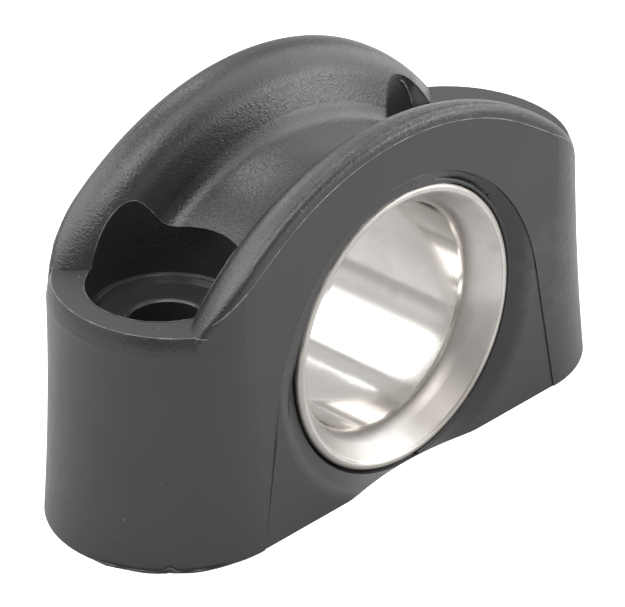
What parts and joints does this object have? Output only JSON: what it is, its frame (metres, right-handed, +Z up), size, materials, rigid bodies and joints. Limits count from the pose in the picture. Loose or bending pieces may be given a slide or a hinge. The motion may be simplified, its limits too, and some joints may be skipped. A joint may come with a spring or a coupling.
{
  "type": "rope fairlead eye",
  "caption": "Moulded deck fairlead: a flared stainless eye for a rope in a saddle-backed block, with arched flanges above and a recessed screw pocket at each end.",
  "frame": {"origin": "centre of the flat base, on the deck's plane", "axes": "+X from one screw hole to the other, +Y along the eye's axis, +Z up from the deck"},
  "size_m": [0.0448, 0.017, 0.0251],
  "materials": {
    "moulded_nylon": "dark grey glass-filled nylon, smooth on the faces and finely textured on the arched top",
    "stainless_steel": "turned stainless steel, bright in the bore and satin on the flare"
  },
  "bodies": {
    "root": {"body": "moulded_nylon", "liner": "stainless_steel"}
  },
  "joints": []
}
